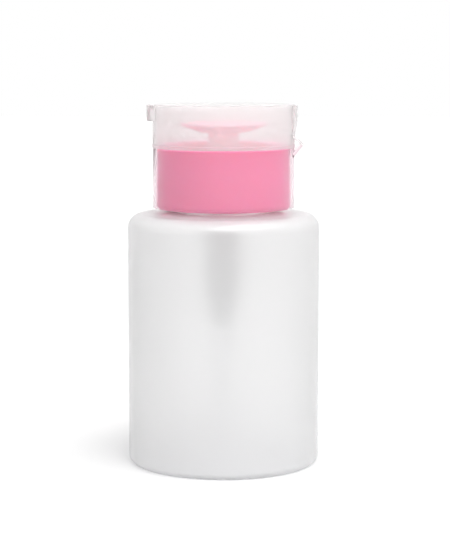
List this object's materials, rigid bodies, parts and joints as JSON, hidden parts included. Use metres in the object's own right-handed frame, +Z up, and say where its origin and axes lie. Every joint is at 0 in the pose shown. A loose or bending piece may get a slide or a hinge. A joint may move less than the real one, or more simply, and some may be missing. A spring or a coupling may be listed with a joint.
{
  "type": "push-down liquid dispenser bottle",
  "caption": "Round frosted bottle with a push-down pump: pink dish on a sprung piston pump, threaded collar in a clear sleeve, and a hinged flip lid.",
  "frame": {"origin": "centre of the plane that the bottle stands on, on the bottle's axis", "axes": "+Z up along the bottle's axis, +X towards the lid's hinge, -X towards its thumb tab"},
  "size_m": [0.06, 0.06, 0.1128],
  "materials": {
    "frosted_shell": "blow-moulded, finely frosted outside",
    "clear_sleeve": "clear, injection moulded",
    "lid_plastic": "translucent, injection moulded",
    "pink_plastic": "satin pink, injection moulded",
    "natural_plastic": "natural, injection moulded",
    "seal": "soft, matte",
    "tube": "extruded, translucent",
    "spring_steel": "drawn wire",
    "ball_steel": "ground and polished"
  },
  "bodies": {
    "bottle": {"bottle": "frosted_shell"},
    "pump": {"neck_gasket": "seal", "pump_housing": "natural_plastic", "housing_retainer": "natural_plastic", "valve_cage": "natural_plastic", "dip_tube": "tube", "return_spring": "spring_steel"},
    "cap": {"screw_collar": "pink_plastic", "collar_sleeve": "clear_sleeve", "hinge_film": "lid_plastic"},
    "lid": {"flip_lid": "lid_plastic"},
    "plunger": {"pump_dish": "pink_plastic", "stem": "natural_plastic", "piston": "seal"},
    "inlet_valve": {"inlet_ball": "ball_steel"},
    "outlet_valve": {"outlet_ball": "ball_steel"}
  },
  "joints": [
    {"name": "cap_lift", "type": "slide", "parent": "bottle", "child": "pump", "axis": [0, 0, 1], "range_m": [0, 0.00423]},
    {"name": "cap_turn", "type": "hinge", "parent": "pump", "child": "cap", "pos_m": [0, 0, 0.0992], "axis": [0, 0, 1], "range_deg": [0, 360]},
    {"name": "lid_flip", "type": "hinge", "parent": "cap", "child": "lid", "pos_m": [0.02445, 0, 0.10065], "axis": [0, 1, 0], "range_deg": [0, 150], "deforming": ["hinge_film"]},
    {"name": "pump_press", "type": "slide", "parent": "pump", "child": "plunger", "axis": [0, 0, -1], "range_m": [0, 0.0055], "stiffness_N_per_m": 300, "springref_m": -0.005, "deforming": ["return_spring"]},
    {"name": "inlet_ball_lift", "type": "slide", "parent": "pump", "child": "inlet_valve", "axis": [0, 0, 1], "range_m": [0, 0.0012]},
    {"name": "outlet_ball_lift", "type": "slide", "parent": "plunger", "child": "outlet_valve", "axis": [0, 0, 1], "range_m": [0, 0.001]}
  ],
  "couplings": [
    {"joint": "cap_turn", "follows": "cap_lift", "rad_per_m": 1485.4}
  ]
}
